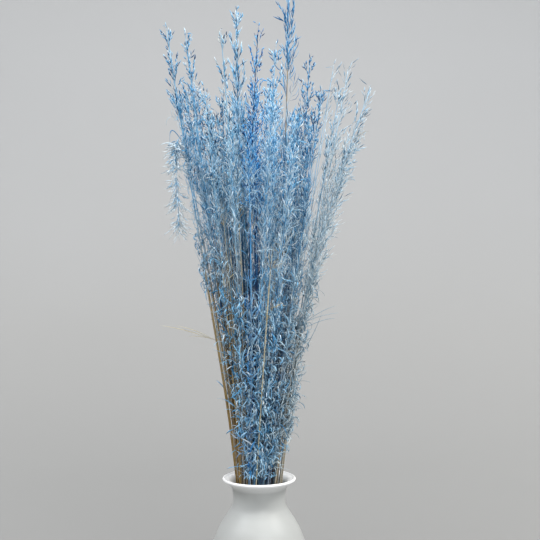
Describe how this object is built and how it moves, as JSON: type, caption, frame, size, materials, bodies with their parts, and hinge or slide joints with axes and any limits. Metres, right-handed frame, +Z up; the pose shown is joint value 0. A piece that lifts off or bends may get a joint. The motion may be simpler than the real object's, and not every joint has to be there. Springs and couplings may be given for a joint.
{
  "type": "dried quaking grass in a vase",
  "caption": "A full bunch of blue-dyed dried grass, with slender plumes and a few undyed culms, standing loose in a white matte ceramic vase with a narrow neck.",
  "frame": {"origin": "centre of the vase's flat foot, on the surface that it stands on", "axes": "+Z up along the axis of the vase, the front of the bunch towards -Y, +X to the right of the front view"},
  "size_m": [0.2264, 0.2044, 0.742],
  "materials": {
    "vase_ceramic": "matte white fired ceramic",
    "grass_deep_blue": "dry dyed grass, deep blue, matte",
    "grass_light_blue": "dry dyed grass, light blue, matte",
    "grass_steel_blue": "dry dyed grass, grey blue, matte",
    "straw_undyed": "dry undyed straw, matte",
    "grass_strong_blue": "dry dyed grass, strong blue, matte",
    "grass_mid_blue": "dry dyed grass, mid blue, matte",
    "grass_pale_blue": "dry dyed grass, pale faded blue, matte"
  },
  "bodies": {
    "root": {"vase": "vase_ceramic", "spray_01": "grass_deep_blue", "spray_02": "grass_deep_blue", "spray_03": "grass_light_blue", "spray_04": "grass_steel_blue", "spray_05": "grass_light_blue", "spray_06": "grass_light_blue", "spray_07": "grass_steel_blue", "spray_08": "grass_light_blue", "spray_09": "grass_steel_blue", "spray_10": "grass_deep_blue", "spray_11": "grass_light_blue", "spray_12": "grass_steel_blue", "undyed_culm_01": "straw_undyed", "spray_13": "grass_steel_blue", "undyed_culm_02": "straw_undyed", "spray_14": "grass_strong_blue", "spray_15": "grass_steel_blue", "spray_16": "grass_light_blue", "spray_17": "grass_light_blue", "spray_18": "grass_steel_blue", "spray_19": "grass_strong_blue", "spray_20": "grass_steel_blue", "spray_21": "grass_deep_blue", "spray_22": "grass_strong_blue", "spray_23": "grass_mid_blue", "spray_24": "grass_light_blue", "spray_25": "grass_deep_blue", "undyed_culm_03": "straw_undyed", "spray_26": "grass_pale_blue", "spray_27": "grass_steel_blue", "spray_28": "grass_light_blue", "spray_29": "grass_strong_blue", "spray_30": "grass_mid_blue", "spray_31": "grass_strong_blue", "spray_32": "grass_steel_blue", "spray_33": "grass_steel_blue", "spray_34": "grass_pale_blue", "spray_35": "grass_mid_blue", "spray_36": "grass_light_blue", "spray_37": "grass_light_blue", "spray_38": "grass_mid_blue", "spray_39": "grass_pale_blue", "spray_40": "grass_steel_blue", "spray_41": "grass_deep_blue", "spray_42": "grass_strong_blue", "spray_43": "grass_mid_blue", "spray_44": "grass_strong_blue", "spray_45": "grass_deep_blue", "spray_46": "grass_steel_blue", "spray_47": "grass_pale_blue", "spray_48": "grass_mid_blue", "undyed_culm_04": "straw_undyed", "spray_49": "grass_strong_blue", "spray_50": "grass_mid_blue", "spray_51": "grass_pale_blue", "spray_52": "grass_steel_blue", "spray_53": "grass_steel_blue", "spray_54": "grass_pale_blue"}
  },
  "joints": []
}
